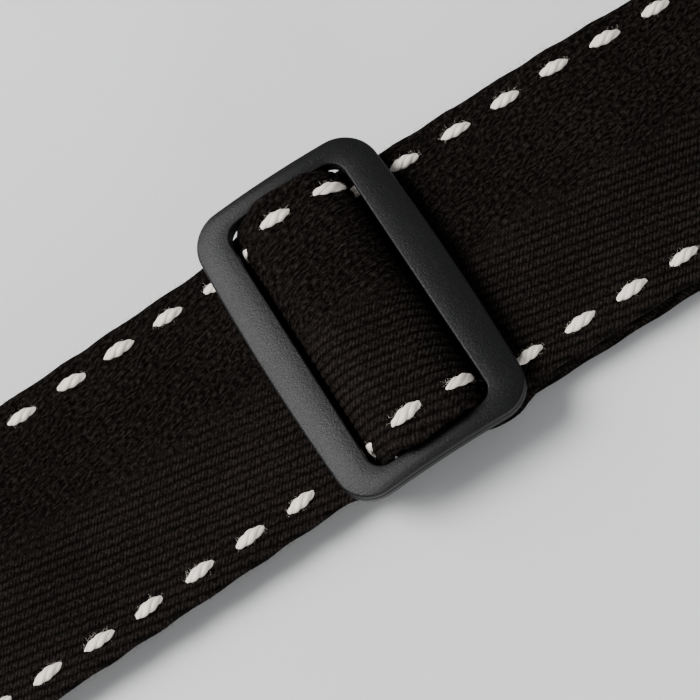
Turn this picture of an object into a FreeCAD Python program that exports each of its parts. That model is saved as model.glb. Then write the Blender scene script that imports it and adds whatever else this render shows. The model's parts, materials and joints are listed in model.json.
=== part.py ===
import FreeCAD, Part
import math
import os

# A 50.8 mm cotton guitar strap with running-stitched edges. It lies flat and straight on a table:
# +X runs from the tail button hole to the front tab, +Y across the webbing, +Z up.
# The origin is the centre of the tail button hole on the underside of the tail tab. Millimetres.

V = FreeCAD.Vector

# Webbing
WEB_WIDTH = 50.8
WEB_THICK = 2.2
BODY_GAP = 0.3            # air between pieces that move apart
PLY_GAP = 0.1             # air between two layers of the same moving piece

# Edge yarn, sewn as a running stitch near both edges
YARN_PITCH = 10.16
YARN_DASH = 6.0
YARN_WIDTH = 2.1
YARN_THICK = 0.5
YARN_INSET = 4.3          # from the webbing's edge to the middle of the dashes

# Stations along the strap
SLIDER_X = 700.0
RING_X = 1142.5
RING_PITCH = 20.0         # between the ring's two long bars
TAB_TO_RING = 22.0        # from the front tab's wide end to the ring's far bar
SEWN_END = 38.0           # where the loop's folded end stops, past the slider's middle
SPLIT_SLIDER = 14.0       # webbing spans part here, hidden under the slider's bars
SPLIT_LOOP = 42.0         # and here, hidden between the two front strands
SPLIT_RING = 10.0         # and here, short of the ring

# Leather tabs
TAB_LENGTH = 85.0         # from the button hole to the wide end
TAB_HALF_WIDTH = 26.5
TAB_SHOULDER = 48.0       # where the taper starts, from the hole
TAB_TIP_R = 15.0
TAB_OVERLAP = 46.0        # where the sewn-in webbing starts, from the hole
OUTER_PLY = 2.2
BACKING_PLY = 1.6
HOLE_R = 4.0
SLIT_WIDTH = 1.0
SLIT_LENGTH = 10.0
STITCH = 3.0
STITCH_PITCH = 4.4
STITCH_WIDTH = 0.7
STITCH_THICK = 0.4
LOOP_STITCH_THICK = 0.2

# Slider
WINDOW_X = 23.2
WINDOW_Y = 52.0
SLIDER_X_END = 35.0       # across the ends of the long bars
SLIDER_X_MID = 37.0       # across their bowed middles
SLIDER_Y = 59.6
SLIDER_THICK = 3.0
ARCH_RISE = 2.0
BAR_R = 1.5               # centre bar: flat oval
BAR_FLAT = 7.0
BAR_CLEAR = 0.5
SLIDER_LIFT = 1.5         # slack under the long bars' outer edges
BAR_ABOVE_EDGE = 1.5      # centre bar's middle above those edges
OUTER_CORNER_R = 6.5
WINDOW_CORNER_R = 3.0

# Square ring of round section
RING_R = 2.0
RING_WINDOW_Y = 55.0
RING_CORNER_R = 3.5

# Heights of the layers' middles
FLOOR_Z = WEB_THICK / 2
FOLD_Z = FLOOR_Z + WEB_THICK + PLY_GAP
UNDER_BAR_Z = FOLD_Z + WEB_THICK + LOOP_STITCH_THICK + BODY_GAP
FRONT_Z = FLOOR_Z + WEB_THICK + BODY_GAP
LOOP_R = BAR_R + BAR_CLEAR + WEB_THICK / 2
HUMP_R = LOOP_R + WEB_THICK + PLY_GAP
RING_TURN_R = RING_R + BODY_GAP + WEB_THICK / 2
RING_Z = RING_TURN_R + FLOOR_Z
SLIDER_EDGE_Z = UNDER_BAR_Z + WEB_THICK / 2 + SLIDER_LIFT
BAR_Z = SLIDER_EDGE_Z + BAR_ABOVE_EDGE
TAB_WEB_Z = BACKING_PLY + WEB_THICK / 2
TAB_TOP_WEB_Z = TAB_WEB_Z + WEB_THICK + PLY_GAP

FAR_BAR_X = RING_X + RING_PITCH
FRONT_HOLE_X = FAR_BAR_X + TAB_TO_RING + TAB_LENGTH


class Path:
    """A layer's centre line seen from the side, in X and Z: straight runs and tangent bends."""

    def __init__(self, x, z, heading=0.0):
        self.x, self.z, self.heading = x, z, math.radians(heading)
        self.length = 0.0
        self.pieces = []

    def _add(self, length, curvature):
        self.pieces.append((self.length, length, self.x, self.z, self.heading, curvature))
        self.x, self.z, self.heading = self._walk(self.pieces[-1], length)
        self.length += length
        return self

    def _walk(self, piece, distance):
        _, _, x, z, heading, curvature = piece
        if curvature == 0:
            return x + distance * math.cos(heading), z + distance * math.sin(heading), heading
        end = heading + distance * curvature
        return (x + (math.sin(end) - math.sin(heading)) / curvature,
                z - (math.cos(end) - math.cos(heading)) / curvature, end)

    def ahead(self, length):
        return self._add(length, 0.0)

    def ahead_to(self, x):
        return self.ahead(abs(x - self.x))

    def turn(self, radius, degrees):
        """Turns left, or right if degrees is negative."""
        return self._add(radius * abs(math.radians(degrees)), math.copysign(1 / radius, degrees))

    def step(self, rise, first_radius, second_radius):
        """Two opposite bends that lead from one level to another, rise higher."""
        swing = math.degrees(math.acos(1 - abs(rise) / (first_radius + second_radius)))
        swing *= math.copysign(1, rise) * math.copysign(1, math.cos(self.heading))
        return self.turn(first_radius, swing).turn(second_radius, -swing)

    def side(self, offset, start, stop):
        """The edges of the line that runs offset to the left, between two distances along."""
        edges = []
        for piece in self.pieces:
            begin, length, curvature = piece[0], piece[1], piece[5]
            lo, hi = max(start, begin), min(stop, begin + length)
            if hi - lo < 1e-6:
                continue
            a, m, b = (self._beside(piece, s - begin, offset) for s in (lo, (lo + hi) / 2, hi))
            line = Part.LineSegment(a, b) if curvature == 0 else Part.Arc(a, m, b)
            edges.append(line.toShape())
        return edges

    def _beside(self, piece, distance, offset):
        x, z, heading = self._walk(piece, distance)
        return V(x - offset * math.sin(heading), 0, z + offset * math.cos(heading))


def step_reach(rise, radii):
    """How far along X a step of this rise takes."""
    return radii * math.sin(math.acos(1 - abs(rise) / radii))


def ribbon(path, thick, width, lift=0.0, y=0.0, start=0.0, stop=None):
    """A flat layer that follows the path, lift to its left, centred on y."""
    stop = path.length if stop is None else stop
    left = path.side(lift + thick / 2, start, stop)
    right = path.side(lift - thick / 2, start, stop)
    ends = [Part.makeLine(left[0].firstVertex().Point, right[0].firstVertex().Point),
            Part.makeLine(left[-1].lastVertex().Point, right[-1].lastVertex().Point)]
    outline = Part.Wire(Part.__sortEdges__(left + right + ends))
    solid = Part.Face(outline).extrude(V(0, width, 0))
    solid.translate(V(0, y - width / 2, 0))
    return solid


def webbing(path):
    return ribbon(path, WEB_THICK, WEB_WIDTH)


def yarn_dashes(path, side, first, last, face=1):
    """One row of running stitches between two distances along the path. face -1 is its right side."""
    y = side * (WEB_WIDTH / 2 - YARN_INSET)
    lift = face * (WEB_THICK + YARN_THICK) / 2
    count = int((last - first - YARN_DASH) // YARN_PITCH) + 1
    starts = [first + i * YARN_PITCH for i in range(count)]
    return Part.makeCompound([ribbon(path, YARN_THICK, YARN_WIDTH, lift, y, s, s + YARN_DASH)
                              for s in starts])


def save(shape, name):
    shape.exportStep("parts/" + name + ".step")


def save_yarns(path, span, first, last, face=1):
    save(yarn_dashes(path, 1, first, last, face), span + "_left_edge_yarn")
    save(yarn_dashes(path, -1, first, last, face), span + "_right_edge_yarn")


# ---- webbing spans ----

def tail_run_path():
    """From inside the tail tab, down to the table and up to the slider's near bar."""
    rise = UNDER_BAR_Z - FLOOR_Z
    path = Path(TAB_OVERLAP, TAB_WEB_Z).ahead_to(TAB_LENGTH + 3)
    path.step(FLOOR_Z - TAB_WEB_Z, 20, 20)
    path.ahead_to(SLIDER_X - 70 - step_reach(rise, 600)).step(rise, 300, 300)
    return path.ahead_to(SLIDER_X - SPLIT_SLIDER - BODY_GAP / 2)


def hump_path():
    """Up through the near slot, over the sewn loop on the centre bar, down the far slot."""
    crown = BAR_Z + HUMP_R
    rise = crown - UNDER_BAR_Z
    foot = 3.0
    path = Path(SLIDER_X - SPLIT_SLIDER + BODY_GAP / 2, UNDER_BAR_Z)
    path.ahead_to(SLIDER_X - BAR_FLAT / 2 - step_reach(rise, foot + HUMP_R))
    path.step(rise, foot, HUMP_R).ahead(BAR_FLAT).step(-rise, HUMP_R, 2.0)
    return path.ahead_to(SLIDER_X + SPLIT_SLIDER - BODY_GAP / 2)


def sewn_loop_path():
    """The strap's own end: from its folded tip round the centre bar to the lower strand."""
    rise = BAR_Z + LOOP_R - FOLD_Z
    foot = 3.0
    path = Path(SLIDER_X + SEWN_END, FOLD_Z, 180)
    path.ahead_to(SLIDER_X + BAR_FLAT / 2 + step_reach(rise, foot + LOOP_R))
    path.step(rise, foot, LOOP_R).ahead(BAR_FLAT).turn(LOOP_R, 180)
    path.step(FLOOR_Z - path.z, foot, foot)
    return path.ahead_to(SLIDER_X + SPLIT_LOOP - BODY_GAP / 2)


def front_run_path():
    """The upper front strand, from the slider's far bar to the ring."""
    rise = RING_Z + RING_TURN_R - FRONT_Z
    path = Path(SLIDER_X + SPLIT_SLIDER + BODY_GAP / 2, UNDER_BAR_Z)
    path.ahead_to(SLIDER_X + SPLIT_LOOP).step(FRONT_Z - UNDER_BAR_Z, 200, 200)
    path.ahead_to(RING_X - SPLIT_RING - step_reach(rise, 200)).step(rise, 100, 100)
    return path


def ring_turn_path():
    path = Path(RING_X - SPLIT_RING, RING_Z + RING_TURN_R).ahead(SPLIT_RING)
    return path.turn(RING_TURN_R, -180).ahead(SPLIT_RING)


def return_run_path():
    """The lower front strand, from the ring back to the sewn loop."""
    path = Path(SLIDER_X + SPLIT_LOOP + BODY_GAP / 2, FLOOR_Z)
    return path.ahead_to(RING_X - SPLIT_RING)


def front_loop_path():
    """The short doubled webbing that ties the front tab to the ring's far bar."""
    end = FRONT_HOLE_X - TAB_OVERLAP
    top = RING_Z + RING_TURN_R - TAB_TOP_WEB_Z
    path = Path(end, TAB_TOP_WEB_Z, 180).ahead_to(FAR_BAR_X + 4 + step_reach(top, 40))
    path.step(top, 20, 20).ahead_to(FAR_BAR_X).turn(RING_TURN_R, 180)
    return path.ahead(4).step(TAB_WEB_Z - FLOOR_Z, 20, 20).ahead_to(end)


def front_loop(path):
    """The loop, with its two layers sewn together from where they meet to its ends inside the tab."""
    rise = RING_Z + RING_TURN_R - TAB_TOP_WEB_Z
    start = FAR_BAR_X + 5 + step_reach(rise, 40)
    seam = Part.makeBox(FRONT_HOLE_X - TAB_OVERLAP - start, WEB_WIDTH, PLY_GAP,
                        V(start, -WEB_WIDTH / 2, TAB_WEB_Z + WEB_THICK / 2))
    return webbing(path).fuse(seam).removeSplitter()


# ---- slider and ring ----

def rounded_block(outline, corner_r, height):
    """An upright prism whose four upright corners are rounded."""
    block = Part.Face(outline).extrude(V(0, 0, height))
    upright = [e for e in block.Edges if abs(e.BoundBox.ZLength - height) < 1e-6]
    return block.makeFillet(corner_r, upright)


def bowed_outline():
    """The slider's outer shape: straight short ends, long sides bowed outward."""
    x, y, bow = SLIDER_X_END / 2, SLIDER_Y / 2, SLIDER_X_MID / 2
    return Part.Wire([
        Part.makeLine(V(-x, y, 0), V(x, y, 0)),
        Part.Arc(V(x, y, 0), V(bow, 0, 0), V(x, -y, 0)).toShape(),
        Part.makeLine(V(x, -y, 0), V(-x, -y, 0)),
        Part.Arc(V(-x, -y, 0), V(-bow, 0, 0), V(-x, y, 0)).toShape(),
    ])


def rectangle(x, y):
    corners = [V(-x, -y, 0), V(x, -y, 0), V(x, y, 0), V(-x, y, 0), V(-x, -y, 0)]
    return Part.makePolygon(corners)


def slider_frame():
    """One moulding: an arched frame with a flat-oval centre bar from rail to rail."""
    tall = 40.0
    half = SLIDER_X_MID / 2
    bend_r = (half ** 2 + ARCH_RISE ** 2) / (2 * ARCH_RISE)
    axis = V(0, -tall, SLIDER_EDGE_Z + ARCH_RISE - bend_r)
    arch = Part.makeCylinder(bend_r + SLIDER_THICK, 2 * tall, axis, V(0, 1, 0)).cut(
        Part.makeCylinder(bend_r, 2 * tall, axis, V(0, 1, 0)))
    frame = rounded_block(bowed_outline(), OUTER_CORNER_R, tall).common(arch)
    frame = frame.cut(rounded_block(rectangle(WINDOW_X / 2, WINDOW_Y / 2), WINDOW_CORNER_R, tall))
    reach = (WINDOW_Y + SLIDER_Y) / 4
    section = Part.Face(Part.Wire([
        Part.makeLine(V(-BAR_FLAT / 2, 0, BAR_R), V(BAR_FLAT / 2, 0, BAR_R)),
        Part.Arc(V(BAR_FLAT / 2, 0, BAR_R), V(BAR_FLAT / 2 + BAR_R, 0, 0),
                 V(BAR_FLAT / 2, 0, -BAR_R)).toShape(),
        Part.makeLine(V(BAR_FLAT / 2, 0, -BAR_R), V(-BAR_FLAT / 2, 0, -BAR_R)),
        Part.Arc(V(-BAR_FLAT / 2, 0, -BAR_R), V(-BAR_FLAT / 2 - BAR_R, 0, 0),
                 V(-BAR_FLAT / 2, 0, BAR_R)).toShape(),
    ]))
    bar = section.extrude(V(0, 2 * reach, 0))
    bar.translate(V(0, -reach, BAR_Z))
    frame = frame.fuse(bar)
    frame.translate(V(SLIDER_X, 0, 0))
    return frame


def square_ring():
    """A rectangle of round bar with rounded corners."""
    half_x = RING_PITCH / 2
    half_y = RING_WINDOW_Y / 2 + RING_R
    flat_x, flat_y = half_x - RING_CORNER_R, half_y - RING_CORNER_R
    pieces = []
    for side in (-1, 1):
        pieces.append(Part.makeCylinder(RING_R, 2 * flat_y, V(side * half_x, -flat_y, 0), V(0, 1, 0)))
        pieces.append(Part.makeCylinder(RING_R, 2 * flat_x, V(-flat_x, side * half_y, 0), V(1, 0, 0)))
    quarter = Part.makeTorus(RING_CORNER_R, RING_R, V(0, 0, 0), V(0, 0, 1), 0, 360, 90)
    for turns, (x, y) in enumerate(((1, 1), (-1, 1), (-1, -1), (1, -1))):
        corner = quarter.copy()
        corner.rotate(V(0, 0, 0), V(0, 0, 1), 90 * turns)
        corner.translate(V(x * flat_x, y * flat_y, 0))
        pieces.append(corner)
    ring = pieces[0].fuse(pieces[1:]).removeSplitter()
    ring.translate(V(RING_X + half_x, 0, RING_Z))
    return ring


# ---- leather tabs, drawn with the button hole at the origin and the wide end towards +X ----

def tab_outline():
    """Wide end, shoulders, straight taper and a round tip about the button hole."""
    w, r = TAB_HALF_WIDTH, TAB_TIP_R
    at = math.atan2(w, TAB_SHOULDER) + math.acos(r / math.hypot(w, TAB_SHOULDER))
    touch = V(r * math.cos(at), r * math.sin(at), 0)
    low = V(touch.x, -touch.y, 0)
    return Part.Wire([
        Part.makeLine(low, V(TAB_SHOULDER, -w, 0)),
        Part.makeLine(V(TAB_SHOULDER, -w, 0), V(TAB_LENGTH, -w, 0)),
        Part.makeLine(V(TAB_LENGTH, -w, 0), V(TAB_LENGTH, w, 0)),
        Part.makeLine(V(TAB_LENGTH, w, 0), V(TAB_SHOULDER, w, 0)),
        Part.makeLine(V(TAB_SHOULDER, w, 0), touch),
        Part.Arc(touch, V(-r, 0, 0), low).toShape(),
    ])


def keyhole():
    """The strap button's round hole and the slit that lets its head through."""
    tall = 20.0
    tools = [Part.makeCylinder(HOLE_R, tall, V(0, 0, -1)),
             Part.makeBox(HOLE_R + SLIT_LENGTH, SLIT_WIDTH, tall, V(0, -SLIT_WIDTH / 2, -1)),
             Part.makeCylinder(SLIT_WIDTH, tall, V(HOLE_R + SLIT_LENGTH, 0, -1))]
    return tools[0].fuse(tools[1:])


def tab_ply(path, thick):
    sheet = ribbon(path, thick, 4 * TAB_HALF_WIDTH)
    return sheet.common(Part.Face(tab_outline()).extrude(V(0, 0, 30))).cut(keyhole())


def outer_ply(web_stack):
    """The top ply steps up over the sewn-in webbing."""
    low = BACKING_PLY + OUTER_PLY / 2
    path = Path(-2 * TAB_TIP_R, low).ahead_to(TAB_OVERLAP - 1 - step_reach(web_stack, 14))
    return tab_ply(path.step(web_stack, 7, 7).ahead_to(TAB_LENGTH + 5), OUTER_PLY)


def backing_ply():
    return tab_ply(Path(-2 * TAB_TIP_R, BACKING_PLY / 2).ahead_to(TAB_LENGTH + 5), BACKING_PLY)


def stitch_line(start, stop, z):
    """Thread stitches laid end to end with gaps, from start to stop, on a face at height z."""
    along = stop - start
    count = max(1, round(along.Length / STITCH_PITCH))
    angle = math.degrees(math.atan2(along.y, along.x))
    stitches = []
    for i in range(count):
        middle = start + along * ((i + 0.5) / count)
        box = Part.makeBox(STITCH, STITCH_WIDTH, STITCH_THICK, V(-STITCH / 2, -STITCH_WIDTH / 2, 0))
        box.rotate(V(0, 0, 0), V(0, 0, 1), angle)
        box.translate(V(middle.x, middle.y, z))
        stitches.append(box)
    return stitches


def tab_stitching(web_stack):
    """A box with a cross over the webbing, and a line round the tapered tip."""
    high = BACKING_PLY + OUTER_PLY + web_stack
    low = BACKING_PLY + OUTER_PLY
    near, far, w = TAB_OVERLAP + 6, TAB_LENGTH - 4, TAB_HALF_WIDTH - 5
    box = [V(near, -w, 0), V(far, -w, 0), V(far, w, 0), V(near, w, 0)]
    stitches = []
    for i in range(4):
        stitches += stitch_line(box[i], box[(i + 1) % 4], high)
    inset = TAB_TIP_R - 4.0
    shoulder = V(TAB_OVERLAP - 14, TAB_HALF_WIDTH * 0.62, 0)
    at = math.atan2(shoulder.y, shoulder.x) + math.acos(inset / shoulder.Length)
    for side in (-1, 1):
        touch = V(inset * math.cos(at), side * inset * math.sin(at), 0)
        stitches += stitch_line(touch, V(shoulder.x, side * shoulder.y, 0), low)
    arc = 2 * (math.pi - at) * inset
    count = round(arc / STITCH_PITCH)
    for i in range(count):
        turn = at + (i + 0.5) * 2 * (math.pi - at) / count
        middle = V(inset * math.cos(turn), inset * math.sin(turn), 0)
        tangent = V(-math.sin(turn), math.cos(turn), 0) * (STITCH_PITCH / 2)
        stitches += stitch_line(middle - tangent, middle + tangent, low)
    return Part.makeCompound(stitches)


def loop_stitching():
    """Three bar tacks across the folded end."""
    w = WEB_WIDTH / 2 - 7
    z = FOLD_Z + WEB_THICK / 2
    stitches = []
    for x in (18, 26, 34):
        for box in stitch_line(V(x, -w, 0), V(x, w, 0), 0):
            flat = box.BoundBox
            stitches.append(Part.makeBox(flat.XLength, flat.YLength, LOOP_STITCH_THICK,
                                         V(SLIDER_X + flat.XMin, flat.YMin, z)))
    return Part.makeCompound(stitches)


def at_front(shape):
    """Turns a tab round so that its wide end faces the ring."""
    turned = shape.mirror(V(0, 0, 0), V(1, 0, 0))
    turned.translate(V(FRONT_HOLE_X, 0, 0))
    return turned


def main():
    os.makedirs("parts", exist_ok=True)
    one, two = WEB_THICK, 2 * WEB_THICK + PLY_GAP

    tail_run = tail_run_path()
    save(webbing(tail_run), "tail_run_webbing")
    save_yarns(tail_run, "tail_run", TAB_LENGTH - TAB_OVERLAP + 2, tail_run.length - 2)
    save(outer_ply(one), "tail_tab_outer_leather")
    save(backing_ply(), "tail_tab_backing_leather")
    save(tab_stitching(one), "tail_tab_stitching")

    hump = hump_path()
    save(webbing(hump), "slider_hump_webbing")
    crown = hump.length / 2 + 0.3
    save_yarns(hump, "slider_hump", crown - 2.1 - YARN_DASH, crown + 2.1 + YARN_DASH)
    save(webbing(sewn_loop_path()), "sewn_loop_webbing")
    save(loop_stitching(), "sewn_loop_stitching")
    save(slider_frame(), "slider_frame")

    front_run = front_run_path()
    save(webbing(front_run), "front_run_webbing")
    save_yarns(front_run, "front_run", 3, front_run.length - 1)
    ring_turn = ring_turn_path()
    save(webbing(ring_turn), "ring_turn_webbing")
    save_yarns(ring_turn, "ring_turn", 2.2, 2.2 + YARN_PITCH + YARN_DASH)
    save(webbing(return_run_path()), "return_run_webbing")
    save(square_ring(), "square_ring")

    loop_path = front_loop_path()
    save(front_loop(loop_path), "front_loop_webbing")
    exposed = TAB_LENGTH - TAB_OVERLAP + 2
    save_yarns(loop_path, "front_loop", exposed, exposed + YARN_PITCH + YARN_DASH + 0.1, -1)
    save(at_front(outer_ply(two)), "front_tab_outer_leather")
    save(at_front(backing_ply()), "front_tab_backing_leather")
    save(at_front(tab_stitching(two)), "front_tab_stitching")


main()
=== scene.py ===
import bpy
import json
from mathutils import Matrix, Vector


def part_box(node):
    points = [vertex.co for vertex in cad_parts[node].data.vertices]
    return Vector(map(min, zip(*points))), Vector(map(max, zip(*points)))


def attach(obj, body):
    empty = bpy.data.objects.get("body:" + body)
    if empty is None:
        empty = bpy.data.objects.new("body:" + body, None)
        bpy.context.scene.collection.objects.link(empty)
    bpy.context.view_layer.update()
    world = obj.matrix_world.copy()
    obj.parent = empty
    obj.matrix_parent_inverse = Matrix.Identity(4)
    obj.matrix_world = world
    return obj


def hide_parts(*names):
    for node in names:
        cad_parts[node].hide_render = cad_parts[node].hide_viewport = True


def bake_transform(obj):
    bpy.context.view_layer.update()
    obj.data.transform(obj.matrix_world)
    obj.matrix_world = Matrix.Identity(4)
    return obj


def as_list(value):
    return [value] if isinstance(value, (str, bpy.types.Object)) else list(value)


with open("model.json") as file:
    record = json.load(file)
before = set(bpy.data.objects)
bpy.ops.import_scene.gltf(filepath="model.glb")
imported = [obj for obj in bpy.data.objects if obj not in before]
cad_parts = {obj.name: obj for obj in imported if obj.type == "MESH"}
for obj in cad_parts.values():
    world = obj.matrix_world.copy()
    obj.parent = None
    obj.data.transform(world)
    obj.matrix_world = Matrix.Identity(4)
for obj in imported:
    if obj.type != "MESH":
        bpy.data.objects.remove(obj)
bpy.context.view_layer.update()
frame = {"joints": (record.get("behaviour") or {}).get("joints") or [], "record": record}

import json
from math import (acos, asin, atan2, ceil, copysign, cos, degrees, floor, hypot, pi, radians, sin,
                  sqrt, tan)

import bpy
import numpy as np
from mathutils import Matrix, Vector
from mathutils.geometry import delaunay_2d_cdt

MM = 0.001
RNG = np.random.default_rng(11)

# ---- places and sizes, read from the frame ----

joints = {j["name"]: j for j in frame["joints"]}
mounts = {m["name"]: m for m in frame["record"]["mounts"]}
SLIDER_X, _, BAR_Z = joints["slider_tilt"]["pos_m"]
RING_X, _, RING_Z = joints["ring_pivot"]["pos_m"]
FAR_BAR_X = joints["tab_pivot"]["pos_m"][0]
FRONT_HOLE_X = mounts["front_button_hole"]["pos_m"][0]
HOLE_R = mounts["tail_button_hole"]["dims"]["r_mm"] * MM

run_low, run_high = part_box("return_run_webbing")
WEB_THICK = run_high[2] - run_low[2]
WEB_HALF = run_high[1]
FLOOR_Z = WEB_THICK / 2
UNDER_BAR_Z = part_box("tail_run_webbing")[1][2] - WEB_THICK / 2
loop_low, loop_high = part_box("sewn_loop_webbing")
LAYER_GAP = 0.1 * MM
FOLD_Z = FLOOR_Z + WEB_THICK + LAYER_GAP
LOOP_R = loop_high[2] - WEB_THICK / 2 - BAR_Z
CROWN_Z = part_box("slider_hump_webbing")[1][2] - WEB_THICK / 2
HUMP_R = CROWN_Z - BAR_Z
BAR_FLAT = 2 * (SLIDER_X - loop_low[0] - LOOP_R - WEB_THICK / 2)
RING_TURN_R = RING_Z - FLOOR_Z
FRONT_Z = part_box("front_run_webbing")[0][2] + WEB_THICK / 2
slider_low, slider_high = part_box("slider_frame")
SLIDER_THICK = 3.0 * MM
WINDOW = (23.2 * MM, 52.0 * MM)
BAR_MIDDLE = 14.5 * MM     # from the slider's middle to the middle of a long bar
ring_low, ring_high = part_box("square_ring")
tab_low, tab_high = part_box("tail_tab_outer_leather")
TAB_LENGTH = tab_high[0]
TAB_HALF = tab_high[1]
TAB_TIP_R = -tab_low[0]
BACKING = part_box("tail_tab_backing_leather")[1][2]
TAB_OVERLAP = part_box("tail_run_webbing")[0][0]
TAB_WEB_Z = BACKING + WEB_THICK / 2
TAB_TOP_WEB_Z = TAB_WEB_Z + WEB_THICK + LAYER_GAP
ONE_LAYER = WEB_THICK
TWO_LAYERS = 2 * WEB_THICK + LAYER_GAP
OUTER_PLY = tab_high[2] - BACKING - ONE_LAYER
SPLIT = SLIDER_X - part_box("tail_run_webbing")[1][0]
LOOP_SPLIT = loop_high[0] - SLIDER_X
RING_SPLIT = RING_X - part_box("ring_turn_webbing")[0][0]
FOLD_END = 38 * MM
TAB_BEND = 20 * MM         # radius of the bends where webbing comes out of a tab

# ---- how the slider draws the webbing about ----

BAR_SPREAD, WINDOW_SPREAD, CROWN_SPREAD = 1.4, 0.15, 0.8     # mm, how far each edge spreads
PAST_BAR = (6.6 * MM, 8.2 * MM)        # the heights between which it rises past the bars
CREEP = 0.4 * MM                       # the hump's shift over one rail
BOW, BOW_REACH = 0.020, 0.11           # the strap's slope beyond the slider, and how far it lasts
PUFF, PUFF_HALF = 0.7 * MM, 20 * MM    # the fullness of its upright flanks, and its half width
PRESSED = 0.65                         # how much flatter what stands proud is pressed

# ---- the running stitch and the weave ----

PITCH = 10.16 * MM
DASH = 6.0 * MM
YARN_ROW = WEB_HALF - 4.3 * MM
RIB_PITCH = 1.55           # mm, across the ribs
RIB_SLOPE = radians(12)
RIB_HEIGHT, STRAND_HEIGHT, STRAND_PITCH = 0.17, 0.07, 1.2    # mm
SELVEDGE, SCALLOP = 1.0, 0.11          # mm, the rounded edge and how the stitch pulls it in
ROW_SINK, DASH_SINK = 0.16, 0.20       # mm, along the stitch row and under a dash
RELIEF_FADE = 6 * MM
FINE_COUNT, COARSE_COUNT = 336, 84     # points round the cloth's section


class Path:
    """A layer's centre line seen from the side, in X and Z: straight runs and tangent bends."""

    def __init__(self, x, z, heading=0.0):
        self.x, self.z, self.heading = x, z, radians(heading)
        self.length = 0.0
        self.pieces = []
        self.marks = {}
        self.bulge = (0.0, 0.0)

    def _add(self, length, curvature):
        self.pieces.append((self.length, length, self.x, self.z, self.heading, curvature))
        x, z, heading = walk(self.pieces[-1], np.array([length]))
        self.x, self.z, self.heading = float(x[0]), float(z[0]), float(heading[0])
        self.length += length
        return self

    def ahead(self, length):
        return self._add(length, 0.0)

    def ahead_to(self, x):
        return self.ahead(abs(x - self.x))

    def turn(self, radius, degrees):
        """Turns left, or right if degrees is negative."""
        return self._add(radius * abs(radians(degrees)), copysign(1 / radius, degrees))

    def step(self, rise, first_radius, second_radius):
        """Two opposite bends that lead from one level to another, rise higher."""
        swing = degrees(acos(1 - abs(rise) / (first_radius + second_radius)))
        swing *= copysign(1, rise) * copysign(1, cos(self.heading))
        return self.turn(first_radius, swing).turn(second_radius, -swing)

    def mark(self, name):
        """Remembers how far along this place is."""
        self.marks[name] = self.length
        return self

    def at(self, s):
        """Places and unit left normals at distances s, as arrays x, z, nx, nz."""
        s = np.asarray(s, float)
        x, z, heading = np.zeros_like(s), np.zeros_like(s), np.zeros_like(s)
        for i, piece in enumerate(self.pieces):
            last = i == len(self.pieces) - 1
            inside = (s >= piece[0] if i else s >= -1) & (last | (s < piece[0] + piece[1]))
            x[inside], z[inside], heading[inside] = walk(piece, s[inside] - piece[0])
        return x, z, -np.sin(heading), np.cos(heading)

    def place(self, s, v, out):
        """The point at distances s along and v across, out off the middle of the cloth."""
        x, z, nx, nz = self.at(s)
        inside = (self.bulge[0] < s) & (s < self.bulge[1])
        out = out + PUFF * nx ** 2 * (1 - smoothstep(PUFF_HALF, WEB_HALF, np.abs(v))) * inside
        return np.stack([x + nx * out, across(x, z, v), z + nz * out], -1)


def walk(piece, distance):
    _, _, x, z, heading, curvature = piece
    if curvature == 0:
        return (x + distance * cos(heading), z + distance * sin(heading),
                np.full_like(distance, heading))
    end = heading + distance * curvature
    return (x + (np.sin(end) - sin(heading)) / curvature,
            z - (np.cos(end) - cos(heading)) / curvature, end)


def step_reach(rise, radii):
    return radii * sin(acos(1 - abs(rise) / radii))


def strap_path():
    """The whole main webbing, from inside the tail tab to its folded end at the slider."""
    lift_bend, front_bend, turn_bend = 0.3, 0.2, 0.1
    foot, far_foot = 3 * MM, 2 * MM
    path = Path(TAB_OVERLAP, TAB_WEB_Z).ahead_to(TAB_LENGTH + 3 * MM)
    path.step(FLOOR_Z - TAB_WEB_Z, TAB_BEND, TAB_BEND)
    rise = UNDER_BAR_Z - FLOOR_Z
    path.ahead_to(SLIDER_X - 70 * MM - step_reach(rise, 2 * lift_bend))
    path.step(rise, lift_bend, lift_bend).ahead_to(SLIDER_X - SPLIT).mark("hump")
    rise = CROWN_Z - UNDER_BAR_Z
    path.ahead_to(SLIDER_X - BAR_FLAT / 2 - step_reach(rise, foot + HUMP_R))
    path.step(rise, foot, HUMP_R).ahead(BAR_FLAT / 2).mark("crown").ahead(BAR_FLAT / 2)
    path.step(-rise, HUMP_R, far_foot).ahead_to(SLIDER_X + SPLIT).mark("front")
    path.ahead_to(SLIDER_X + LOOP_SPLIT).step(FRONT_Z - UNDER_BAR_Z, front_bend, front_bend)
    rise = RING_Z + RING_TURN_R - FRONT_Z
    path.ahead_to(RING_X - RING_SPLIT - step_reach(rise, 2 * turn_bend))
    path.step(rise, turn_bend, turn_bend).mark("turn")
    path.ahead(RING_SPLIT).turn(RING_TURN_R, -180).ahead(RING_SPLIT).mark("return")
    path.ahead_to(SLIDER_X + LOOP_SPLIT).mark("loop")
    rise = BAR_Z - LOOP_R - FLOOR_Z
    path.ahead_to(SLIDER_X - BAR_FLAT / 2 + step_reach(rise, 2 * foot)).step(rise, foot, foot)
    path.turn(LOOP_R, -180).ahead(BAR_FLAT)
    path.step(FOLD_Z - path.z, LOOP_R, foot).ahead_to(SLIDER_X + FOLD_END).mark("end")
    path.bulge = (path.marks["hump"], path.marks["front"])
    return path


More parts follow.
